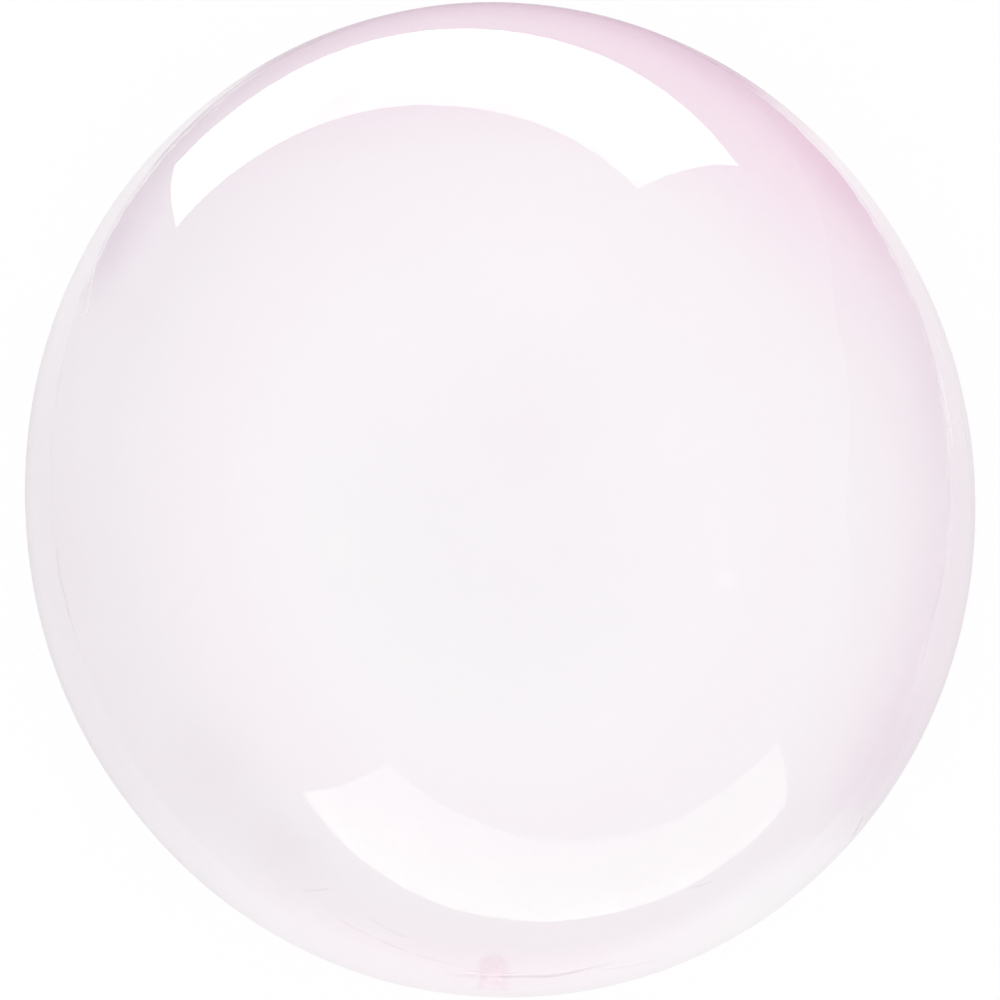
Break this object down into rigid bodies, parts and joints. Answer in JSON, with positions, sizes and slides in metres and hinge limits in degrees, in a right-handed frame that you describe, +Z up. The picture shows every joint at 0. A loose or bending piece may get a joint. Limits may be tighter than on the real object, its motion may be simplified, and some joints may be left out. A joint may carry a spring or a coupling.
{
  "type": "clear bubble balloon",
  "caption": "Inflated balloon of clear pink stretch film, nearly a ball, with a ring weld and a flat filling neck folded back underneath.",
  "frame": {"origin": "middle of the small flat spot on the rear panel, which the balloon lies on", "axes": "+Z up from the floor to the front panel, which the picture shows; -Y towards the filling neck, +Y towards the crown; +X to the picture's right"},
  "size_m": [0.4846, 0.512, 0.4562],
  "materials": {
    "pink_film": "clear, faintly pink stretch film, glossy on both sides"
  },
  "bodies": {
    "root": {"bubble_envelope": "pink_film"}
  },
  "joints": []
}
